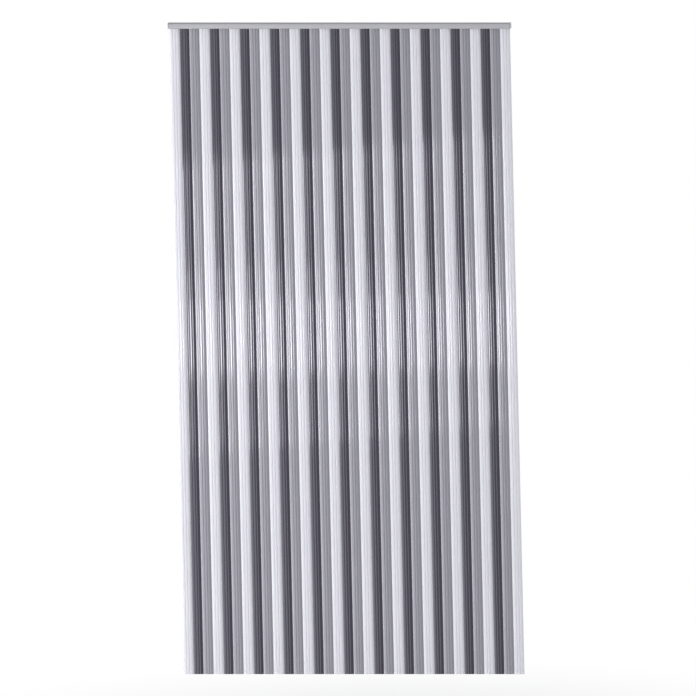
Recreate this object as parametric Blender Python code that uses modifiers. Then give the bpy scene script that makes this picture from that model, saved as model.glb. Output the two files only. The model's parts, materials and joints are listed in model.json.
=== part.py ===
"""Door slat curtain: ribbed plastic slats that swing on a round bead inside an aluminium head rail.

Metres, +Z up. The origin is the middle of the rail's top face, which is screwed up under a door's lintel.
The curtain's front faces -Y. Each slat hangs down from its own clip, and its object's origin is on the
bead's axis, which is the axis that the slat swings about.
"""

import math

import bpy
import bmesh

# The curtain as a whole
CURTAIN_WIDTH = 1.000
CURTAIN_HEIGHT = 1.895
SLAT_COUNT = 34
SWING_DEGREES = 45

# Room between pieces that seat on each other, and how far a cutter runs past what it cuts
SEAT_GAP = 0.0003
OVERRUN = 0.001

# Head rail, one aluminium extrusion: a channel open below, with a bead on a stem in its middle
RAIL_DEPTH = 0.022
RAIL_HEIGHT = 0.016
RAIL_WALL = 0.0012
RAIL_CORNER_RADIUS = 0.0025
RAIL_LIP_RADIUS = 0.0012
STEM_THICKNESS = 0.001
BEAD_RADIUS = 0.0025
BEAD_DROP = 0.011

# Screw holes through the rail's top, over its rear chamber
FIXING_HOLES = 3
FIXING_HOLE_RADIUS = 0.00225
FIXING_HOLE_INSET = 0.070

# End caps, one plug for each of the rail's two chambers
CAP_THICKNESS = 0.0025
CAP_EDGE_ROUND = 0.0012
CAP_PLUG_LENGTH = 0.0055
CAP_PLUG_HEIGHT = 0.006

# Slats, an arched and fluted section cut to length
SLAT_SIDE_GAP = 0.0005
SLAT_CROWN = 0.003
SLAT_WALL = 0.0011
SLAT_TOP_REACH = 0.0015
CROWN_POWER = 2.3
FLUTES = 3
FLUTE_RISE = 0.0004
FLUTED_SHARE = 0.85
FLANK_SHARES = (1.0, 0.985, 0.94)

# Clip that is welded to the back of each slat's top and snaps over the bead
CLIP_WIDTH = 0.014
CLIP_WALL = 0.0013
NECK_THICKNESS = 0.0016
NECK_EMBED = 0.0006
NECK_LAP = 0.010

# Steps of the round stretches
CORNER_STEPS = 4
LIP_STEPS = 8
BEAD_STEPS = 14
CLIP_STEPS = 6
FLUTE_STEPS = 6
BACK_STEPS = 12
HOLE_STEPS = 24
BEVEL_SEGMENTS = 3
SMOOTH_ANGLE = math.radians(35)

# Places worked out from the sizes above
HALF_DEPTH = RAIL_DEPTH / 2
RAIL_LENGTH = CURTAIN_WIDTH - 2 * (CAP_THICKNESS + SEAT_GAP)
BEAD_HEIGHT = -BEAD_DROP
BEAD_FIT_RADIUS = BEAD_RADIUS + SEAT_GAP
CLIP_RADIUS = BEAD_FIT_RADIUS + CLIP_WALL
SLAT_PITCH = RAIL_LENGTH / SLAT_COUNT
SLAT_WIDTH = SLAT_PITCH - SLAT_SIDE_GAP
SLAT_TOP = BEAD_DROP + SLAT_TOP_REACH - RAIL_HEIGHT
SLAT_BOTTOM = BEAD_DROP - CURTAIN_HEIGHT

# A section drawn in the plane across the curtain, turned so that it is drawn out along X
ALONG_X = (math.pi / 2, 0, math.pi / 2)

SLAT_COLOURS = (
    ("white", (0.80, 0.80, 0.84)),
    ("dark_grey", (0.085, 0.083, 0.100)),
    ("mid_grey", (0.33, 0.325, 0.36)),
)


def clear_scene():
    for obj in list(bpy.data.objects):
        bpy.data.objects.remove(obj)


def make_collection(name):
    collection = bpy.data.collections.new(name)
    bpy.context.scene.collection.children.link(collection)
    return collection


def make_material(name, colour, roughness, metallic=0.0):
    material = bpy.data.materials.new(name)
    material.use_nodes = True
    shader = material.node_tree.nodes["Principled BSDF"]
    shader.inputs["Base Color"].default_value = (*colour, 1.0)
    shader.inputs["Roughness"].default_value = roughness
    shader.inputs["Metallic"].default_value = metallic
    return material


def arc(centre, radius, start, end, steps):
    """Points of an arc from one angle to another, in degrees, both ends included."""
    turn = end - start
    angles = [math.radians(start + turn * step / steps) for step in range(steps + 1)]
    return [(centre[0] + radius * math.cos(a), centre[1] + radius * math.sin(a)) for a in angles]


def mirrored(half):
    """A closed outline from its right half, which is listed from the top down to the bottom."""
    return half + [(-across, up) for across, up in reversed(half) if across]


def extrusion(name, outline, length, collection):
    """A flat outline drawn out to both sides of its plane, as a mesh with its ends welded on."""
    curve = bpy.data.curves.new(name, "CURVE")
    curve.dimensions = "2D"
    curve.fill_mode = "BOTH"
    curve.extrude = length / 2
    spline = curve.splines.new("POLY")
    spline.points.add(len(outline) - 1)
    for point, (across, up) in zip(spline.points, outline):
        point.co = (across, up, 0, 1)
    spline.use_cyclic_u = True
    drawn = bpy.data.objects.new(name + "_outline", curve)
    collection.objects.link(drawn)
    graph = bpy.context.evaluated_depsgraph_get()
    mesh = bpy.data.meshes.new_from_object(drawn.evaluated_get(graph))
    bpy.data.objects.remove(drawn)
    mesh.name = name
    weld(mesh)
    obj = bpy.data.objects.new(name, mesh)
    collection.objects.link(obj)
    return obj


def weld(mesh):
    shape = bmesh.new()
    shape.from_mesh(mesh)
    bmesh.ops.remove_doubles(shape, verts=shape.verts, dist=SEAT_GAP / 100)
    bmesh.ops.recalc_face_normals(shape, faces=shape.faces)
    shape.to_mesh(mesh)
    shape.free()


def boolean(obj, operation, other):
    modifier = obj.modifiers.new(operation.title() + "_" + other.name, "BOOLEAN")
    modifier.operation = operation
    modifier.solver = "EXACT"
    modifier.object = other


def finished_mesh(obj):
    """The mesh that the object's modifiers make, shaded smooth over its round stretches."""
    graph = bpy.context.evaluated_depsgraph_get()
    mesh = bpy.data.meshes.new_from_object(obj.evaluated_get(graph))
    mesh.name = obj.name + "_mesh"
    shade_round(mesh)
    return mesh


def shade_round(mesh):
    mesh.shade_smooth()
    mesh.set_sharp_from_angle(angle=SMOOTH_ANGLE)


def helper(obj):
    obj.hide_render = True
    obj.display_type = "WIRE"
    return obj


def rail_corner(radius):
    """The rail's rounded upper corner at a given radius about the corner's own centre."""
    centre = (HALF_DEPTH - RAIL_CORNER_RADIUS, -RAIL_CORNER_RADIUS)
    return arc(centre, radius, 90, 0, CORNER_STEPS)


def rail_outline():
    """Right half from the top's outer corner, down the wall, round the lip, up inside and down to the bead."""
    lip_centre = (HALF_DEPTH - RAIL_LIP_RADIUS, RAIL_LIP_RADIUS - RAIL_HEIGHT)
    lip_end = -360 + math.degrees(math.acos(1 - RAIL_WALL / RAIL_LIP_RADIUS))
    stem_angle = math.degrees(math.acos(STEM_THICKNESS / 2 / BEAD_RADIUS))
    half = rail_corner(RAIL_CORNER_RADIUS)
    half += arc(lip_centre, RAIL_LIP_RADIUS, 0, lip_end, LIP_STEPS)
    half += reversed(rail_corner(RAIL_CORNER_RADIUS - RAIL_WALL))
    half += [(STEM_THICKNESS / 2, -RAIL_WALL)]
    half += arc((0, BEAD_HEIGHT), BEAD_RADIUS, stem_angle, -90, BEAD_STEPS)[:-1]
    return mirrored(half + [(0, BEAD_HEIGHT - BEAD_RADIUS)])


def make_head_rail(parts, cutters, aluminium):
    blank = helper(extrusion("head_rail_blank", rail_outline(), RAIL_LENGTH, cutters))
    blank.rotation_euler = ALONG_X
    inner_wall = HALF_DEPTH - RAIL_WALL
    chamber_middle = (STEM_THICKNESS / 2 + inner_wall) / 2
    hole_span = RAIL_LENGTH - 2 * FIXING_HOLE_INSET
    for hole in range(FIXING_HOLES):
        bpy.ops.mesh.primitive_cylinder_add(
            vertices=HOLE_STEPS,
            radius=FIXING_HOLE_RADIUS,
            depth=RAIL_WALL + 2 * OVERRUN,
            location=(
                hole_span * (hole / (FIXING_HOLES - 1) - 1 / 2),
                chamber_middle,
                -RAIL_WALL / 2,
            ),
        )
        cutter = helper(bpy.context.object)
        cutter.name = f"fixing_hole_{hole + 1}"
        move_to(cutter, cutters)
        boolean(blank, "DIFFERENCE", cutter)
    rail = bpy.data.objects.new("head_rail", finished_mesh(blank))
    rail.rotation_euler = ALONG_X
    rail.data.materials.append(aluminium)
    parts.objects.link(rail)
    bpy.data.objects.remove(blank)


def move_to(obj, collection):
    for old in list(obj.users_collection):
        old.objects.unlink(obj)
    collection.objects.link(obj)


def cap_outline():
    """The rail's outer outline, closed across its open lower side."""
    lip_centre = (HALF_DEPTH - RAIL_LIP_RADIUS, RAIL_LIP_RADIUS - RAIL_HEIGHT)
    half = rail_corner(RAIL_CORNER_RADIUS)
    half += arc(lip_centre, RAIL_LIP_RADIUS, 0, -90, CORNER_STEPS)
    return mirrored(half)


def plug_outline(side):
    """One plug's section, a seat gap clear of the top, the wall and the stem of its chamber."""
    top = -RAIL_WALL - SEAT_GAP
    inner = STEM_THICKNESS / 2 + SEAT_GAP
    points = rail_corner(RAIL_CORNER_RADIUS - RAIL_WALL - SEAT_GAP)
    points += [(HALF_DEPTH - RAIL_WALL - SEAT_GAP, top - CAP_PLUG_HEIGHT)]
    points += [(inner, top - CAP_PLUG_HEIGHT), (inner, top)]
    return [(side * across, up) for across, up in points]


def round_outer_edge(obj):
    """Bevels only the rim of the face that looks away from the rail, local +Z."""
    mesh = obj.data
    weights = mesh.attributes.new("bevel_weight_edge", "FLOAT", "EDGE")
    for edge in mesh.edges:
        ends = [mesh.vertices[index].co.z for index in edge.vertices]
        weights.data[edge.index].value = float(min(ends) > 0)
    modifier = obj.modifiers.new("Rounded_rim", "BEVEL")
    modifier.limit_method = "WEIGHT"
    modifier.width = CAP_EDGE_ROUND
    modifier.segments = BEVEL_SEGMENTS


def make_end_cap(name, side, parts, cutters, plastic):
    """A cap for the rail's right end, turned about the vertical for the left end."""
    flange = helper(extrusion("flange_" + name, cap_outline(), CAP_THICKNESS, cutters))
    round_outer_edge(flange)
    plug_depth = CAP_PLUG_LENGTH + CAP_THICKNESS / 2
    for plug_side in (-1, 1):
        plug = extrusion(f"plug_{plug_side + 2}_" + name, plug_outline(plug_side), plug_depth, cutters)
        helper(plug).location.z = -plug_depth / 2
        boolean(flange, "UNION", plug)
    cap = bpy.data.objects.new(name, finished_mesh(flange))
    cap.rotation_euler = (math.pi / 2, 0, side * math.pi / 2)
    cap.location.x = side * (CURTAIN_WIDTH - CAP_THICKNESS) / 2
    cap.data.materials.append(plastic)
    parts.objects.link(cap)


def crown(share, half_width, height):
    """A point of the arch, which is flat in its middle and steep at its feet, at a share of its half width."""
    rise = height * (1 - abs(share) ** CROWN_POWER) ** (1 / CROWN_POWER)
    return (share * half_width, rise)


def flute(share):
    """How far the rounded flutes stand proud of the arch, with a groove between neighbours."""
    if abs(share) >= FLUTED_SHARE:
        return 0
    return FLUTE_RISE * abs(math.cos(math.pi * share * FLUTES / (2 * FLUTED_SHARE)))


def slat_outline():
    """The arched section seen from above, its fluted front towards -Y and its centroid on the axis."""
    steps = FLUTES * FLUTE_STEPS
    fluted_shares = [FLUTED_SHARE * (2 * step / steps - 1) for step in range(steps + 1)]
    front_shares = [-s for s in FLANK_SHARES] + fluted_shares + list(reversed(FLANK_SHARES))
    back_shares = [math.cos(math.pi * step / BACK_STEPS) for step in range(BACK_STEPS + 1)]
    outline = []
    for share in front_shares:
        across, rise = crown(share, SLAT_WIDTH / 2, SLAT_CROWN)
        outline.append((across, -rise - flute(share)))
    for share in back_shares:
        across, rise = crown(share, SLAT_WIDTH / 2 - SLAT_WALL, SLAT_CROWN - SLAT_WALL)
        outline.append((across, -rise))
    shift = centroid_height(outline)
    return [(across, up - shift) for across, up in outline], -(SLAT_CROWN - SLAT_WALL) - shift


def centroid_height(outline):
    """Height of a closed outline's centroid, by the shoelace sums."""
    area = moment = 0
    for (x1, y1), (x2, y2) in zip(outline, outline[1:] + outline[:1]):
        cross = x1 * y2 - x2 * y1
        area += cross / 2
        moment += (y1 + y2) * cross / 6
    return moment / area


def clip_outline(neck_front):
    """An open ring round the bead, with a neck that hangs down behind the slat's wall."""
    stem_turn = math.degrees(math.asin((STEM_THICKNESS / 2 + SEAT_GAP) / BEAD_FIT_RADIUS))
    mouth = SWING_DEGREES + stem_turn
    neck_back = neck_front + NECK_THICKNESS
    neck_foot = SLAT_TOP - NECK_LAP
    back_angle = -math.degrees(math.acos(neck_back / CLIP_RADIUS))
    front_angle = -math.degrees(math.acos(neck_front / CLIP_RADIUS))
    outline = arc((0, 0), CLIP_RADIUS, 90 - mouth, back_angle, CLIP_STEPS)
    outline += [(neck_back, neck_foot), (neck_front, neck_foot)]
    outline += arc((0, 0), CLIP_RADIUS, front_angle, mouth - 270, CLIP_STEPS)
    outline += arc((0, 0), BEAD_FIT_RADIUS, mouth - 270, 90 - mouth, 2 * CLIP_STEPS)
    return outline


def slat_mesh(cutters):
    """One slat with its clip, its origin on the axis of the bead."""
    outline, wall_back = slat_outline()
    slat = helper(extrusion("slat_blank", outline, SLAT_TOP - SLAT_BOTTOM, cutters))
    slat.location.z = (SLAT_TOP + SLAT_BOTTOM) / 2
    clip = helper(extrusion("clip_blank", clip_outline(wall_back - NECK_EMBED), CLIP_WIDTH, cutters))
    clip.rotation_euler = ALONG_X
    boolean(slat, "UNION", clip)
    mesh = finished_mesh(slat)
    for vertex in mesh.vertices:
        vertex.co.z += slat.location.z
    return mesh


def make_slats(parts, cutters):
    materials = [make_material("slat_" + name, colour, 0.25) for name, colour in SLAT_COLOURS]
    mesh = slat_mesh(cutters)
    mesh.materials.append(None)
    for index in range(SLAT_COUNT):
        colour = index % len(SLAT_COLOURS)
        name = f"slat_{index + 1:02d}_{SLAT_COLOURS[colour][0]}"
        slat = bpy.data.objects.new(name, mesh)
        slat.location = ((index + 1 / 2) * SLAT_PITCH - RAIL_LENGTH / 2, 0, BEAD_HEIGHT)
        parts.objects.link(slat)
        slat.material_slots[0].link = "OBJECT"
        slat.material_slots[0].material = materials[colour]


def main():
    clear_scene()
    parts = make_collection("door_slat_curtain")
    cutters = make_collection("cutters")
    aluminium = make_material("anodised_aluminium", (0.42, 0.42, 0.45), 0.38, 1.0)
    plastic = make_material("cap_plastic", (0.33, 0.33, 0.35), 0.5)
    make_head_rail(parts, cutters, aluminium)
    make_end_cap("end_cap_left", -1, parts, cutters, plastic)
    make_end_cap("end_cap_right", 1, parts, cutters, plastic)
    make_slats(parts, cutters)


main()
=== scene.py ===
"""Looks of the door slat curtain: finer rail, end caps and slats, their materials, studio and camera.

Metres, +Z up, in the part's frame: the origin is in the middle of the rail's top, and the front faces -Y.
"""

import json
import math

import bpy
from mathutils import Matrix, Vector


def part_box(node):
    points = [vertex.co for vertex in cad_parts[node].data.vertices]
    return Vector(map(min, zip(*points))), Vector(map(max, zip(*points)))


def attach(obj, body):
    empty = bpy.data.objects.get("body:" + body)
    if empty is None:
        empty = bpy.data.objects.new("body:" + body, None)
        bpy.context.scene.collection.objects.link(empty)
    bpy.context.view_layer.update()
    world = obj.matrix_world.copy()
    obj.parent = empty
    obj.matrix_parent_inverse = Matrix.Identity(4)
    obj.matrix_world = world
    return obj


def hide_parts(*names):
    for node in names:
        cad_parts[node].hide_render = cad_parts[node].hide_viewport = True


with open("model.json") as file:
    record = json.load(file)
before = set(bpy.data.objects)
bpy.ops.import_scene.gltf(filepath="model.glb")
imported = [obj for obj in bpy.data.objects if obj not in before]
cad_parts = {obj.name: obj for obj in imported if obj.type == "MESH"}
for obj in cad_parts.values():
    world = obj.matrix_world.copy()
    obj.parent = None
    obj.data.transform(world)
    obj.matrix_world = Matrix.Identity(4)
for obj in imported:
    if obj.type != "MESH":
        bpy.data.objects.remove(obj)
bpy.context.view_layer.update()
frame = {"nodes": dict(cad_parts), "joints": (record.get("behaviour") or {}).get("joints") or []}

# Sizes read from the frame
RAIL_LOW, RAIL_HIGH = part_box("head_rail")
RAIL_LENGTH = RAIL_HIGH.x - RAIL_LOW.x
RAIL_DEPTH = RAIL_HIGH.y - RAIL_LOW.y
RAIL_HEIGHT = RAIL_HIGH.z - RAIL_LOW.z
CAP_LOW, CAP_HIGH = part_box("end_cap_right")
SLAT_NODES = sorted(name for name in frame["nodes"] if name.startswith("slat_"))
SLAT_LOW, SLAT_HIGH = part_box(SLAT_NODES[0])
SLAT_WIDTH = SLAT_HIGH.x - SLAT_LOW.x
SLAT_BOTTOM = SLAT_LOW.z
JOINTS = {joint["child"]: joint for joint in frame["joints"]}
BEAD_HEIGHT = JOINTS["slat_01"]["pos_m"][2]
HALF_DEPTH = RAIL_DEPTH / 2

# Sizes that the frame's boxes don't show, as in the part
SEAT_GAP = 0.0003
OVERRUN = 0.001
RAIL_WALL = 0.0012
RAIL_CORNER_RADIUS = 0.0025
RAIL_LIP_RADIUS = 0.0012
STEM_THICKNESS = 0.001
BEAD_RADIUS = 0.0025
FIXING_HOLES = 3
FIXING_HOLE_RADIUS = 0.00225
FIXING_HOLE_INSET = 0.070
CAP_THICKNESS = 0.0025
CAP_EDGE_ROUND = 0.0012
CAP_PLUG_HEIGHT = 0.006
CAP_PLUG_CHAMFER = 0.0006
SLAT_CROWN = 0.003
SLAT_WALL = 0.0011
SLAT_TOP_REACH = 0.0015
CROWN_POWER = 2.3
FLUTES = 3
FLUTE_RISE = 0.0004
FLUTE_CROWN = 0.00015
GROOVE_POWER = 5.0
GROOVE_DEPTH = 0.00045
FLUTED_SHARE = 0.85
FLANK_SHARES = (1.0, 0.997, 0.99, 0.975, 0.95, 0.91)
CLIP_WIDTH = 0.014
CLIP_WALL = 0.0013
CLIP_EDGE_ROUND = 0.0003
NECK_THICKNESS = 0.0016
NECK_EMBED = 0.0006
NECK_LAP = 0.010
SAWN_EDGE = 0.00012
SWING_DEGREES = JOINTS["slat_01"]["range_deg"][1]

# Steps of the round stretches
CORNER_STEPS = 12
LIP_STEPS = 16
BEAD_STEPS = 28
CLIP_STEPS = 18
FLUTE_STEPS = 20
BACK_STEPS = 28
HOLE_STEPS = 48
BEVEL_SEGMENTS = 6
CLIP_BEVEL_SEGMENTS = 2
SMOOTH_ANGLE = math.radians(32)

# A section drawn in the plane across the curtain, turned so that it is drawn out along X
ALONG_X = Matrix.Rotation(math.pi / 2, 4, "Z") @ Matrix.Rotation(math.pi / 2, 4, "X")

# Each plastic's colour, how much it mirrors, and how far shade is painted into its grooves
SLAT_LOOKS = {
    "white": {"colour": (0.61, 0.605, 0.649), "specular": 0.24, "painted_groove_shade": 0.17},
    "dark_grey": {"colour": (0.020, 0.0175, 0.032), "specular": 0.575, "painted_groove_shade": 0.4},
    "mid_grey": {"colour": (0.228, 0.224, 0.252), "specular": 0.58, "painted_groove_shade": 0.4},
}
PLASTIC_SHEEN = (0.93, 0.92, 1.0)
ALUMINIUM = (0.283, 0.283, 0.304)
CAP_PLASTIC = (0.34, 0.34, 0.36)
FLOOR_PAINT = (0.86, 0.86, 0.87)

# Each noise: its spots a metre along X, Y and Z, its octaves, and their roughness
PLASTIC_LINES = ((1500, 1500, 4), 4, 0.6)
PLASTIC_CLOUDS = ((18, 18, 2.5), 3, 0.5)
PLASTIC_GRAIN = ((2600, 2600, 1400), 2, 0.5)
RAIL_LINES = ((5, 2200, 2200), 5, 0.65)
RAIL_CLOUDS = ((9, 60, 60), 3, 0.5)
CAP_GRAIN = ((2400, 2400, 2400), 3, 0.5)
CAP_CLOUDS = ((160, 160, 160), 2, 0.5)
FLOOR_CLOUDS = ((1.5, 1.5, 1.5), 3, 0.5)
USUAL_NOISE = (0.3, 0.7)

# How far the noise shades each colour
PLASTIC_LINE_SHADE = (0.985, 1.015)
PLASTIC_CLOUD_SHADE = (0.98, 1.02)
RAIL_LINE_SHADE = (0.95, 1.05)
RAIL_CLOUD_SHADE = (0.97, 1.03)
CAP_GRAIN_SHADE = (0.96, 1.04)
CAP_CLOUD_SHADE = (0.97, 1.03)
FLOOR_CLOUD_SHADE = (0.985, 1.015)

# Roughness of each surface, and depth of its bumps
PLASTIC_ROUGHNESS = (0.05, 0.075)
PLASTIC_ANISOTROPY = 0.8
PLASTIC_LINE_DEPTH = 0.000004
PLASTIC_GRAIN_DEPTH = 0.0000006
RAIL_ROUGHNESS = (0.48, 0.60)
RAIL_LINE_DEPTH = 0.000008
CAP_ROUGHNESS = (0.42, 0.58)
CAP_GRAIN_DEPTH = 0.00002
FLOOR_ROUGHNESS = 0.7

# Where the shade painted into the grooves sets in: from the flutes' middles at 0 to the grooves at 1, by how
# far the surface faces the front, and by half flutes away from the slat's middle
GROOVE_SPAN = (0.68, 1.0)
FRONT_FACING = (-0.2, -0.6)
OUTER_FLUTE = (FLUTES - 1, FLUTES - 0.5)

# The photograph's frame, and where it shows the rail
PHOTO_SIZE = 696
RAIL_LEFT_PX = 167.4
RAIL_RIGHT_PX = 511.5
RAIL_TOP_PX = 22.3
CAMERA_AZIMUTH = math.radians(9.2)
CAMERA_ELEVATION = math.radians(8.0)
CAMERA_DISTANCE = 8.0
CAMERA_REACH = 100

# The studio
WORLD_COLOUR = (0.96, 0.97, 1.0, 1.0)
WORLD_STRENGTH = 0.65
FLOOR_HEIGHT = -2.05
FLOOR_SIZE = 40.0
FLOOR_WHITE_FROM = 0.35
FLOOR_WHITE_TO = 1.5
FLOOR_LEAST_WHITE = 0.6
SOFTBOX_DISTANCE = 5.0
SOFTBOX_STAGGER = 0.05

# Rows of the photograph between which the slats mirror each kind of softbox
TALL_ROWS = (-300, 1000)
BAND_ROWS = (150, 440)
GLOW_ROWS = (264, 378)
CORE_ROWS = (298, 368)
LOW_ROWS = (430, 1000)

# Each softbox: its azimuth to the left of the front and its spread, in degrees, the rows between which it is
# mirrored, and its radiance
SOFTBOXES = {
    "softbox_tall_back": (180, 70, TALL_ROWS, 1.0),
    "softbox_tall_right": (-75, 30, TALL_ROWS, 2.0),
    "softbox_tall_near": (20, 20, TALL_ROWS, 1.8),
    "softbox_tall_middle": (50, 20, TALL_ROWS, 1.1),
    "softbox_tall_far": (75, 30, TALL_ROWS, 3.3),
    "softbox_band_near": (20, 20, BAND_ROWS, 2.7),
    "softbox_band_middle": (60, 20, BAND_ROWS, 7.8),
    "softbox_band_far": (80, 20, BAND_ROWS, 8.4),
    "softbox_glow": (20, 20, GLOW_ROWS, 5.0),
    "softbox_core_near": (5, 10, CORE_ROWS, 3.0),
    "softbox_core_far": (15, 10, CORE_ROWS, 13.0),
    "softbox_low": (50, 50, LOW_ROWS, 1.4),
}


def section_arc(centre, radius, start, end, steps):
    """Points of an arc from one angle to another, in degrees, both ends included."""
    angles = [math.radians(start + (end - start) * step / steps) for step in range(steps + 1)]
    return [(centre[0] + radius * math.cos(a), centre[1] + radius * math.sin(a)) for a in angles]


def mirrored(half):
    """A closed outline from its right half, which is listed from the top down to the bottom."""
    return half + [(-across, up) for across, up in reversed(half) if across]


def extrusion(name, outline, length):
    """A flat outline drawn out to both sides of its plane, as a closed mesh."""
    around = outline if signed_area(outline) > 0 else list(reversed(outline))
    count = len(around)
    points = [(across, up, side * length / 2) for side in (-1, 1) for across, up in around]
    walls = [(i, (i + 1) % count, (i + 1) % count + count, i + count) for i in range(count)]
    ends = [tuple(reversed(range(count))), tuple(range(count, 2 * count))]
    mesh = bpy.data.meshes.new(name)
    mesh.from_pydata(points, [], walls + ends)
    obj = bpy.data.objects.new(name, mesh)
    bpy.context.scene.collection.objects.link(obj)
    return obj


def signed_area(outline):
    """Area inside a closed outline, above zero if its points run anticlockwise."""
    return sum(x1 * y2 - x2 * y1 for (x1, y1), (x2, y2) in zip(outline, outline[1:] + outline[:1])) / 2


def bake(obj):
    """Puts what the object's modifiers make into its own mesh."""
    mesh = bpy.data.meshes.new_from_object(obj.evaluated_get(bpy.context.evaluated_depsgraph_get()))
    obj.modifiers.clear()
    obj.data = mesh
    return obj


def turn(obj, matrix):
    obj.data.transform(matrix)
    return obj


def round_edges(obj, width, segments, chosen):
    """Rounds the edges whose two ends both pass the test."""
    mesh = obj.data
    weights = mesh.attributes.new("bevel_weight_edge", "FLOAT", "EDGE")
    for edge in mesh.edges:
        ends = [mesh.vertices[index].co for index in edge.vertices]
        weights.data[edge.index].value = float(all(chosen(end) for end in ends))
    bevel = obj.modifiers.new("Round", "BEVEL")
    bevel.limit_method = "WEIGHT"
    bevel.width = width
    bevel.segments = segments
    bake(obj)
    obj.data.attributes.remove(obj.data.attributes["bevel_weight_edge"])
    return obj


def break_sawn_ends(obj):
    """A fine flat chamfer round both ends of an extrusion, so that its long faces keep their own normals."""
    for end in (-1, 1):
        round_edges(obj, SAWN_EDGE, 1, lambda point: end * point.z > 0)
    return obj


def combine(obj, operation, other):
    """Cuts the other object from this one or joins it, and removes the other."""
    modifier = obj.modifiers.new(operation, "BOOLEAN")
    modifier.operation = operation
    modifier.solver = "EXACT"
    modifier.object = other
    bake(obj)
    bpy.data.objects.remove(other)
    return obj


def finished(obj, material):
    obj.data.materials.clear()
    obj.data.materials.append(material)
    obj.data.shade_smooth()
    obj.data.set_sharp_from_angle(angle=SMOOTH_ANGLE)
    return obj


def rail_corner(radius):
    centre = (HALF_DEPTH - RAIL_CORNER_RADIUS, -RAIL_CORNER_RADIUS)
    return section_arc(centre, radius, 90, 0, CORNER_STEPS)


def rail_outline():
    """Right half from the top's outer corner, down the wall, round the lip, up inside and to the bead."""
    lip_centre = (HALF_DEPTH - RAIL_LIP_RADIUS, RAIL_LIP_RADIUS - RAIL_HEIGHT)
    lip_end = -360 + math.degrees(math.acos(1 - RAIL_WALL / RAIL_LIP_RADIUS))
    stem_angle = math.degrees(math.acos(STEM_THICKNESS / 2 / BEAD_RADIUS))
    half = rail_corner(RAIL_CORNER_RADIUS)
    half += section_arc(lip_centre, RAIL_LIP_RADIUS, 0, lip_end, LIP_STEPS)
    half += reversed(rail_corner(RAIL_CORNER_RADIUS - RAIL_WALL))
    half += [(STEM_THICKNESS / 2, -RAIL_WALL)]
    half += section_arc((0, BEAD_HEIGHT), BEAD_RADIUS, stem_angle, -90, BEAD_STEPS)[:-1]
    return mirrored(half + [(0, BEAD_HEIGHT - BEAD_RADIUS)])


def make_rail(material):
    rail = break_sawn_ends(extrusion("head_rail_extrusion", rail_outline(), RAIL_LENGTH))
    turn(rail, ALONG_X)
    chamber_middle = (STEM_THICKNESS / 2 + HALF_DEPTH - RAIL_WALL) / 2
    hole_span = RAIL_LENGTH - 2 * FIXING_HOLE_INSET
    for hole in range(FIXING_HOLES):
        place = (hole_span * (hole / (FIXING_HOLES - 1) - 1 / 2), chamber_middle, -RAIL_WALL / 2)
        bpy.ops.mesh.primitive_cylinder_add(
            vertices=HOLE_STEPS, radius=FIXING_HOLE_RADIUS, depth=RAIL_WALL + 2 * OVERRUN, location=place
        )
        combine(rail, "DIFFERENCE", bpy.context.object)
    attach(finished(rail, material), "rail")
    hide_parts("head_rail")


def cap_outline():
    """The rail's outer outline, closed across its open lower side."""
    lip_centre = (HALF_DEPTH - RAIL_LIP_RADIUS, RAIL_LIP_RADIUS - RAIL_HEIGHT)
    half = rail_corner(RAIL_CORNER_RADIUS)
    half += section_arc(lip_centre, RAIL_LIP_RADIUS, 0, -90, CORNER_STEPS)
    return mirrored(half)


def plug_outline(side):
    """One plug's section, a seat gap clear of the top, the wall and the stem of its chamber."""
    top = -RAIL_WALL - SEAT_GAP
    inner = STEM_THICKNESS / 2 + SEAT_GAP
    points = rail_corner(RAIL_CORNER_RADIUS - RAIL_WALL - SEAT_GAP)
    points += [(HALF_DEPTH - RAIL_WALL - SEAT_GAP, top - CAP_PLUG_HEIGHT)]
    points += [(inner, top - CAP_PLUG_HEIGHT), (inner, top)]
    return [(side * across, up) for across, up in points]


def make_cap(name, side, material):
    """A cap drawn along +Z from the rail's end, then turned to the side that it closes."""
    cap = extrusion(name, cap_outline(), CAP_THICKNESS)
    round_edges(cap, CAP_EDGE_ROUND, BEVEL_SEGMENTS, lambda point: point.z > 0)
    reach = CAP_HIGH.x - CAP_LOW.x - CAP_THICKNESS / 2
    for plug_side in (-1, 1):
        plug = extrusion(f"{name}_plug", plug_outline(plug_side), reach)
        round_edges(plug, CAP_PLUG_CHAMFER, 1, lambda point: point.z < 0)
        turn(plug, Matrix.Translation((0, 0, -reach / 2)))
        combine(cap, "UNION", plug)
    turn(cap, Matrix.Rotation(side * math.pi / 2, 4, "Z") @ Matrix.Rotation(math.pi / 2, 4, "X"))
    turn(cap, Matrix.Translation((side * (CAP_HIGH.x - CAP_THICKNESS / 2), 0, 0)))
    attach(finished(cap, material), "rail")
    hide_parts(name.removesuffix("_moulding"))


def crown(share, half_width, height):
    """A point of the arch, flat in its middle and steep at its feet, at a share of its half width."""
    return (share * half_width, height * (1 - abs(share) ** CROWN_POWER) ** (1 / CROWN_POWER))


def flute(share, groove_depth):
    """How far the gently crowned flutes stand proud of the arch, with a groove sunk between neighbours."""
    if abs(share) >= FLUTED_SHARE:
        return 0
    place = share * FLUTES / (2 * FLUTED_SHARE)
    from_middle = 2 * abs(place - round(place))
    sunk = groove_depth * (1 - (share / FLUTED_SHARE) ** 2)
    fall = FLUTE_CROWN * from_middle ** 2
    return FLUTE_RISE - fall - (FLUTE_RISE - FLUTE_CROWN + sunk) * from_middle ** GROOVE_POWER


def flute_shares():
    """Shares of the half width across the flutes, closest together at the grooves."""
    turns = [math.pi * (step / FLUTE_STEPS - 1 / 2) for step in range(FLUTE_STEPS)]
    places = [number + (1 + math.sin(turn)) / 2 for number in range(FLUTES) for turn in turns]
    return [FLUTED_SHARE * (2 * place / FLUTES - 1) for place in places + [FLUTES]]


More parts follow.
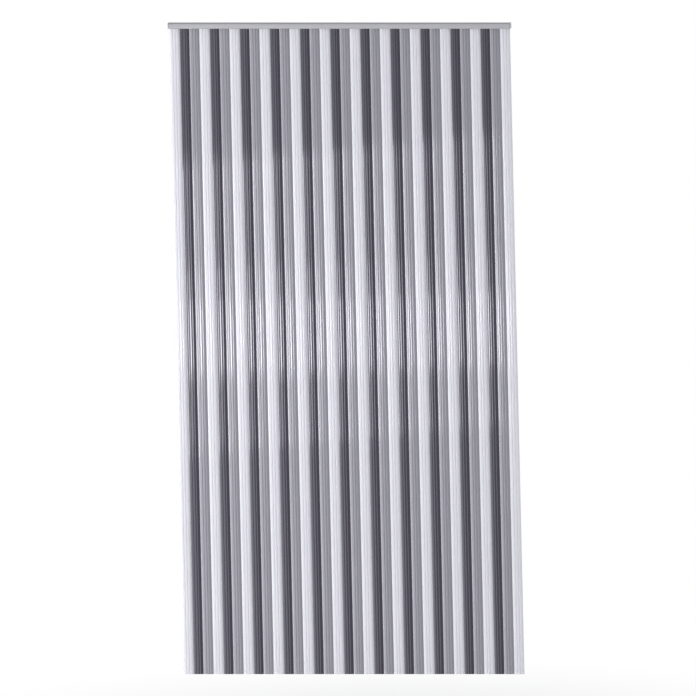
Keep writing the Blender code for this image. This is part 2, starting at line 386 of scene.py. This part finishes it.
def centroid_height(outline):
    """Height of a closed outline's centroid, by the shoelace sums."""
    area = moment = 0
    for (x1, y1), (x2, y2) in zip(outline, outline[1:] + outline[:1]):
        cross = x1 * y2 - x2 * y1
        area += cross / 2
        moment += (y1 + y2) * cross / 6
    return moment / area


def slat_section(groove_depth):
    """The arched section seen from above, its fluted front towards -Y and its feet on the axis."""
    front_shares = [-s for s in FLANK_SHARES] + flute_shares() + list(reversed(FLANK_SHARES))
    back_shares = [math.cos(math.pi * step / BACK_STEPS) for step in range(BACK_STEPS + 1)]
    outline = []
    for share in front_shares:
        across, rise = crown(share, SLAT_WIDTH / 2, SLAT_CROWN)
        outline.append((across, -rise - flute(share, groove_depth)))
    for share in back_shares:
        across, rise = crown(share, SLAT_WIDTH / 2 - SLAT_WALL, SLAT_CROWN - SLAT_WALL)
        outline.append((across, -rise))
    return outline


def slat_outline():
    """The section placed by the plain section's centroid, as in the part, and where its wall's back is."""
    shift = centroid_height(slat_section(0))
    placed = [(across, up - shift) for across, up in slat_section(GROOVE_DEPTH)]
    return placed, -(SLAT_CROWN - SLAT_WALL) - shift


def clip_outline(neck_front, slat_top):
    """An open ring round the bead, with a neck that hangs down behind the slat's wall."""
    fit = BEAD_RADIUS + SEAT_GAP
    outer = fit + CLIP_WALL
    mouth = SWING_DEGREES + math.degrees(math.asin((STEM_THICKNESS / 2 + SEAT_GAP) / fit))
    neck_back = neck_front + NECK_THICKNESS
    neck_foot = slat_top - NECK_LAP
    back_angle = -math.degrees(math.acos(neck_back / outer))
    front_angle = -math.degrees(math.acos(neck_front / outer))
    outline = section_arc((0, 0), outer, 90 - mouth, back_angle, CLIP_STEPS)
    outline += [(neck_back, neck_foot), (neck_front, neck_foot)]
    outline += section_arc((0, 0), outer, front_angle, mouth - 270, CLIP_STEPS)
    outline += section_arc((0, 0), fit, mouth - 270, 90 - mouth, 2 * CLIP_STEPS)
    return outline


def make_slat_shape():
    """One slat with its clip, about the axis of the bead."""
    top = SLAT_TOP_REACH - BEAD_HEIGHT - RAIL_HEIGHT
    bottom = SLAT_BOTTOM - BEAD_HEIGHT
    outline, wall_back = slat_outline()
    slat = break_sawn_ends(extrusion("slat_shape", outline, top - bottom))
    turn(slat, Matrix.Translation((0, 0, (top + bottom) / 2)))
    clip = extrusion("clip_shape", clip_outline(wall_back - NECK_EMBED, top), CLIP_WIDTH)
    round_edges(clip, CLIP_EDGE_ROUND, CLIP_BEVEL_SEGMENTS, lambda point: True)
    turn(clip, ALONG_X)
    return combine(slat, "UNION", clip)


def make_slats(materials):
    shape = make_slat_shape()
    meshes = {}
    for colour, material in materials.items():
        shape.data = shape.data.copy()
        meshes[colour] = finished(shape, material).data
    bpy.data.objects.remove(shape)
    for node in SLAT_NODES:
        number, colour = node.removeprefix("slat_").split("_", 1)
        body = "slat_" + number
        slat = bpy.data.objects.new(body + "_moulding", meshes[colour])
        slat.location = JOINTS[body]["pos_m"]
        bpy.context.scene.collection.objects.link(slat)
        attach(slat, body)
        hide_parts(node)


class Nodes:
    """A material's nodes, with short calls for the kinds that the surfaces here share."""

    def __init__(self, name):
        self.material = bpy.data.materials.new(name)
        self.material.use_nodes = True
        self.tree = self.material.node_tree
        self.shader = self.tree.nodes["Principled BSDF"]
        self.place = self.new("ShaderNodeTexCoord").outputs["Object"]

    def new(self, kind, **values):
        node = self.tree.nodes.new(kind)
        for key, value in values.items():
            setattr(node, key, value)
        return node

    def link(self, source, target):
        self.tree.links.new(source, target)

    def noise(self, per_metre, detail, roughness):
        """Noise between 0 and 1 with its own count of spots a metre along X, Y and Z."""
        mapping = self.new("ShaderNodeMapping")
        mapping.inputs["Scale"].default_value = per_metre
        self.link(self.place, mapping.inputs["Vector"])
        noise = self.new("ShaderNodeTexNoise")
        noise.inputs["Scale"].default_value = 1.0
        noise.inputs["Detail"].default_value = detail
        noise.inputs["Roughness"].default_value = roughness
        self.link(mapping.outputs["Vector"], noise.inputs["Vector"])
        return noise.outputs["Fac"]

    def spread(self, value, low, high):
        """Noise stretched from its usual middle range to between two values."""
        stretch = self.new("ShaderNodeMapRange")
        stretch.inputs["From Min"].default_value, stretch.inputs["From Max"].default_value = USUAL_NOISE
        stretch.inputs["To Min"].default_value = low
        stretch.inputs["To Max"].default_value = high
        self.link(value, stretch.inputs["Value"])
        return stretch.outputs["Result"]

    def ramp(self, value, span, to):
        """A value that eases from one number to another over a span."""
        ease = self.new("ShaderNodeMapRange", interpolation_type="SMOOTHSTEP")
        ease.inputs["From Min"].default_value, ease.inputs["From Max"].default_value = span
        ease.inputs["To Min"].default_value, ease.inputs["To Max"].default_value = to
        self.link(value, ease.inputs["Value"])
        return ease.outputs["Result"]

    def shade(self, colour, factor):
        """A colour multiplied by a factor that changes over the surface."""
        scale = self.new("ShaderNodeVectorMath", operation="SCALE")
        scale.inputs[0].default_value = colour
        self.link(factor, scale.inputs["Scale"])
        return scale.outputs["Vector"]

    def product(self, first, second):
        node = self.new("ShaderNodeMath", operation="MULTIPLY")
        self.link(first, node.inputs[0])
        self.link(second, node.inputs[1])
        return node.outputs["Value"]

    def bumps(self, *layers):
        """Bump layers, each a height with its depth in metres, one on top of the other."""
        normal = None
        for height, depth in layers:
            bump = self.new("ShaderNodeBump")
            bump.inputs["Distance"].default_value = depth
            self.link(height, bump.inputs["Height"])
            if normal:
                self.link(normal, bump.inputs["Normal"])
            normal = bump.outputs["Normal"]
        self.link(normal, self.shader.inputs["Normal"])


def painted_groove_shade(nodes, depth):
    """1 over the slat, and less in the grooves between its flutes, where it paints shade into the colour."""
    across = nodes.new("ShaderNodeSeparateXYZ")
    nodes.link(nodes.place, across.inputs[0])
    waves = nodes.new("ShaderNodeMath", operation="MULTIPLY")
    waves.inputs[1].default_value = 2 * FLUTES / (FLUTED_SHARE * SLAT_WIDTH)
    nodes.link(across.outputs["X"], waves.inputs[0])
    from_middle = nodes.new("ShaderNodeMath", operation="PINGPONG")
    from_middle.inputs[1].default_value = 1.0
    nodes.link(waves.outputs["Value"], from_middle.inputs[0])
    facing = nodes.new("ShaderNodeSeparateXYZ")
    nodes.link(nodes.new("ShaderNodeTexCoord").outputs["Normal"], facing.inputs[0])
    front = nodes.ramp(facing.outputs["Y"], FRONT_FACING, (0.0, 1.0))
    groove = nodes.ramp(from_middle.outputs["Value"], GROOVE_SPAN, (0.0, 1.0))
    aside = nodes.new("ShaderNodeMath", operation="ABSOLUTE")
    nodes.link(waves.outputs["Value"], aside.inputs[0])
    between = nodes.ramp(aside.outputs["Value"], OUTER_FLUTE, (1.0, 0.0))
    # Mask of the painted shade: front faces only, near the grooves, and only the grooves between the flutes
    sunk = nodes.product(nodes.product(front, groove), between)
    return nodes.ramp(sunk, (0.0, 1.0), (1.0, 1.0 - depth))


def slat_plastic(name, look):
    """Extruded plastic: glossy, with faint die lines that run down the slat, a little cloudiness, and shade
    painted into its grooves.
    """
    nodes = Nodes("slat_plastic_" + name)
    lines = nodes.noise(*PLASTIC_LINES)
    clouds = nodes.noise(*PLASTIC_CLOUDS)
    grain = nodes.noise(*PLASTIC_GRAIN)
    factor = nodes.spread(lines, *PLASTIC_LINE_SHADE)
    factor = nodes.product(factor, nodes.spread(clouds, *PLASTIC_CLOUD_SHADE))
    # Painted shade: the colour darkens in the grooves between the flutes, on the front only
    factor = nodes.product(factor, painted_groove_shade(nodes, look["painted_groove_shade"]))
    nodes.link(nodes.shade(look["colour"], factor), nodes.shader.inputs["Base Color"])
    nodes.link(nodes.spread(lines, *PLASTIC_ROUGHNESS), nodes.shader.inputs["Roughness"])
    nodes.shader.inputs["Specular IOR Level"].default_value = look["specular"]
    nodes.shader.inputs["Specular Tint"].default_value = (*PLASTIC_SHEEN, 1.0)
    nodes.shader.inputs["Anisotropic"].default_value = PLASTIC_ANISOTROPY
    nodes.bumps((lines, PLASTIC_LINE_DEPTH), (grain, PLASTIC_GRAIN_DEPTH))
    return nodes.material


def rail_aluminium():
    """Satin anodised aluminium, with fine lines from its die along the rail."""
    nodes = Nodes("anodised_aluminium")
    lines = nodes.noise(*RAIL_LINES)
    clouds = nodes.noise(*RAIL_CLOUDS)
    factor = nodes.product(nodes.spread(lines, *RAIL_LINE_SHADE), nodes.spread(clouds, *RAIL_CLOUD_SHADE))
    nodes.link(nodes.shade(ALUMINIUM, factor), nodes.shader.inputs["Base Color"])
    nodes.link(nodes.spread(lines, *RAIL_ROUGHNESS), nodes.shader.inputs["Roughness"])
    nodes.shader.inputs["Metallic"].default_value = 1.0
    nodes.bumps((lines, RAIL_LINE_DEPTH))
    return nodes.material


def cap_plastic():
    """Moulded plastic with a fine spark-eroded grain."""
    nodes = Nodes("moulded_cap_plastic")
    grain = nodes.noise(*CAP_GRAIN)
    clouds = nodes.noise(*CAP_CLOUDS)
    factor = nodes.product(nodes.spread(grain, *CAP_GRAIN_SHADE), nodes.spread(clouds, *CAP_CLOUD_SHADE))
    nodes.link(nodes.shade(CAP_PLASTIC, factor), nodes.shader.inputs["Base Color"])
    nodes.link(nodes.spread(grain, *CAP_ROUGHNESS), nodes.shader.inputs["Roughness"])
    nodes.bumps((grain, CAP_GRAIN_DEPTH))
    return nodes.material


def seen_rays(nodes, new_link):
    """1 for rays that look at the background: from the camera, or off gloss or through glass."""
    path = nodes.new("ShaderNodeLightPath")
    total = None
    for ray in ("Is Camera Ray", "Is Glossy Ray", "Is Transmission Ray"):
        if total is None:
            total = path.outputs[ray]
            continue
        node = nodes.new("ShaderNodeMath")
        node.operation = "MAXIMUM"
        new_link(total, node.inputs[0])
        new_link(path.outputs[ray], node.inputs[1])
        total = node.outputs["Value"]
    return total


def make_floor():
    """A pale floor that takes the curtain's shadow and turns to white further out."""
    bpy.ops.mesh.primitive_plane_add(size=FLOOR_SIZE, location=(0, 0, FLOOR_HEIGHT))
    floor = bpy.context.object
    floor.name = "studio_floor"
    nodes = Nodes("floor_paint")
    factor = nodes.spread(nodes.noise(*FLOOR_CLOUDS), *FLOOR_CLOUD_SHADE)
    nodes.link(nodes.shade(FLOOR_PAINT, factor), nodes.shader.inputs["Base Color"])
    nodes.shader.inputs["Roughness"].default_value = FLOOR_ROUGHNESS
    reach = nodes.new("ShaderNodeVectorMath", operation="LENGTH")
    nodes.link(nodes.place, reach.inputs[0])
    fade = nodes.new("ShaderNodeMapRange", interpolation_type="SMOOTHSTEP")
    fade.inputs["From Min"].default_value = FLOOR_WHITE_FROM
    fade.inputs["From Max"].default_value = FLOOR_WHITE_TO
    fade.inputs["To Min"].default_value = FLOOR_LEAST_WHITE
    nodes.link(reach.outputs["Value"], fade.inputs["Value"])
    white = nodes.new("ShaderNodeEmission")
    mix = nodes.new("ShaderNodeMixShader")
    seen = seen_rays(nodes.tree.nodes, nodes.link)
    nodes.link(nodes.product(fade.outputs["Result"], seen), mix.inputs["Fac"])
    nodes.link(nodes.shader.outputs["BSDF"], mix.inputs[1])
    nodes.link(white.outputs["Emission"], mix.inputs[2])
    nodes.link(mix.outputs["Shader"], nodes.tree.nodes["Material Output"].inputs["Surface"])
    floor.data.materials.append(nodes.material)
    floor.visible_glossy = False


def make_world():
    """White to the eye and in reflections, and a soft even light on every surface."""
    world = bpy.data.worlds.new("studio_world")
    world.use_nodes = True
    bpy.context.scene.world = world
    nodes = world.node_tree.nodes
    links = world.node_tree.links
    soft = nodes["Background"]
    soft.inputs["Color"].default_value = WORLD_COLOUR
    soft.inputs["Strength"].default_value = WORLD_STRENGTH
    white = nodes.new("ShaderNodeBackground")
    white.inputs["Color"].default_value = (1.0, 1.0, 1.0, 1.0)
    white.inputs["Strength"].default_value = 1.0
    mix = nodes.new("ShaderNodeMixShader")
    links.new(seen_rays(nodes, links.new), mix.inputs["Fac"])
    links.new(soft.outputs["Background"], mix.inputs[1])
    links.new(white.outputs["Background"], mix.inputs[2])
    links.new(mix.outputs["Shader"], nodes["World Output"].inputs["Surface"])


def make_softbox(name, distance, azimuth, spread, rows, radiance):
    """An upright softbox that the slats' fronts mirror to the camera between two rows of the photograph."""
    heights = [photo_height(row) - distance * math.tan(CAMERA_ELEVATION) for row in rows]
    lamp = bpy.data.lights.new(name, "AREA")
    lamp.shape = "RECTANGLE"
    lamp.size = 2 * distance * math.tan(math.radians(spread / 2))
    lamp.size_y = abs(heights[0] - heights[1])
    lamp.energy = radiance * math.pi * lamp.size * lamp.size_y
    softbox = bpy.data.objects.new(name, lamp)
    angle = math.radians(azimuth)
    toward = Vector((-math.sin(angle), -math.cos(angle), 0))
    lateral = Vector((math.cos(angle), -math.sin(angle), 0))
    axes = Matrix((lateral, (0, 0, 1), toward)).transposed()
    place = toward * distance + Vector((0, 0, sum(heights) / 2))
    softbox.matrix_world = Matrix.Translation(place) @ axes.to_4x4()
    softbox.visible_camera = False
    bpy.context.scene.collection.objects.link(softbox)


def camera_axes():
    """Right, up and back of the camera, rolled so that the rail lies level in the picture."""
    a, e = CAMERA_AZIMUTH, CAMERA_ELEVATION
    back = Vector((math.sin(a) * math.cos(e), -math.cos(a) * math.cos(e), math.sin(e)))
    right = Vector((math.cos(a), math.sin(a), 0))
    roll = Matrix.Rotation(-math.atan(math.tan(a) * math.sin(e)), 3, back)
    right = roll @ right
    return right, back.cross(right), back


def rail_corners():
    """The corners of the rail with its caps on."""
    return [
        Vector((x, y, z))
        for x in (-CAP_HIGH.x, CAP_HIGH.x)
        for y in (RAIL_LOW.y, RAIL_HIGH.y)
        for z in (RAIL_LOW.z, RAIL_HIGH.z)
    ]


def metres_per_pixel():
    right = camera_axes()[0]
    across = [corner @ right for corner in rail_corners()]
    return (max(across) - min(across)) / (RAIL_RIGHT_PX - RAIL_LEFT_PX)


def photo_height(row):
    """Height of the slats' fronts at a row of the photograph."""
    up = camera_axes()[1]
    top = max(corner @ up for corner in rail_corners())
    return (top - (row - RAIL_TOP_PX) * metres_per_pixel()) / up.z


def make_camera():
    right, up, back = camera_axes()
    scale = metres_per_pixel()
    left_edge = min(corner @ right for corner in rail_corners())
    top_edge = max(corner @ up for corner in rail_corners())
    across = left_edge + (PHOTO_SIZE / 2 - RAIL_LEFT_PX) * scale
    aloft = top_edge - (PHOTO_SIZE / 2 - RAIL_TOP_PX) * scale
    camera = bpy.data.objects.new("camera", bpy.data.cameras.new("camera"))
    camera.data.type = "ORTHO"
    camera.data.ortho_scale = PHOTO_SIZE * scale
    camera.data.clip_end = CAMERA_REACH
    axes = Matrix((right, up, back)).transposed().to_4x4()
    camera.matrix_world = Matrix.Translation(right * across + up * aloft + back * CAMERA_DISTANCE) @ axes
    bpy.context.scene.collection.objects.link(camera)
    bpy.context.scene.camera = camera


def make_studio():
    make_world()
    make_floor()
    for number, (name, softbox) in enumerate(SOFTBOXES.items()):
        make_softbox(name, SOFTBOX_DISTANCE - number * SOFTBOX_STAGGER, *softbox)


def main():
    make_camera()
    plastics = {name: slat_plastic(name, look) for name, look in SLAT_LOOKS.items()}
    make_rail(rail_aluminium())
    caps = cap_plastic()
    make_cap("end_cap_left_moulding", -1, caps)
    make_cap("end_cap_right_moulding", 1, caps)
    make_slats(plastics)
    make_studio()
    bpy.context.scene.view_settings.view_transform = "Standard"


main()
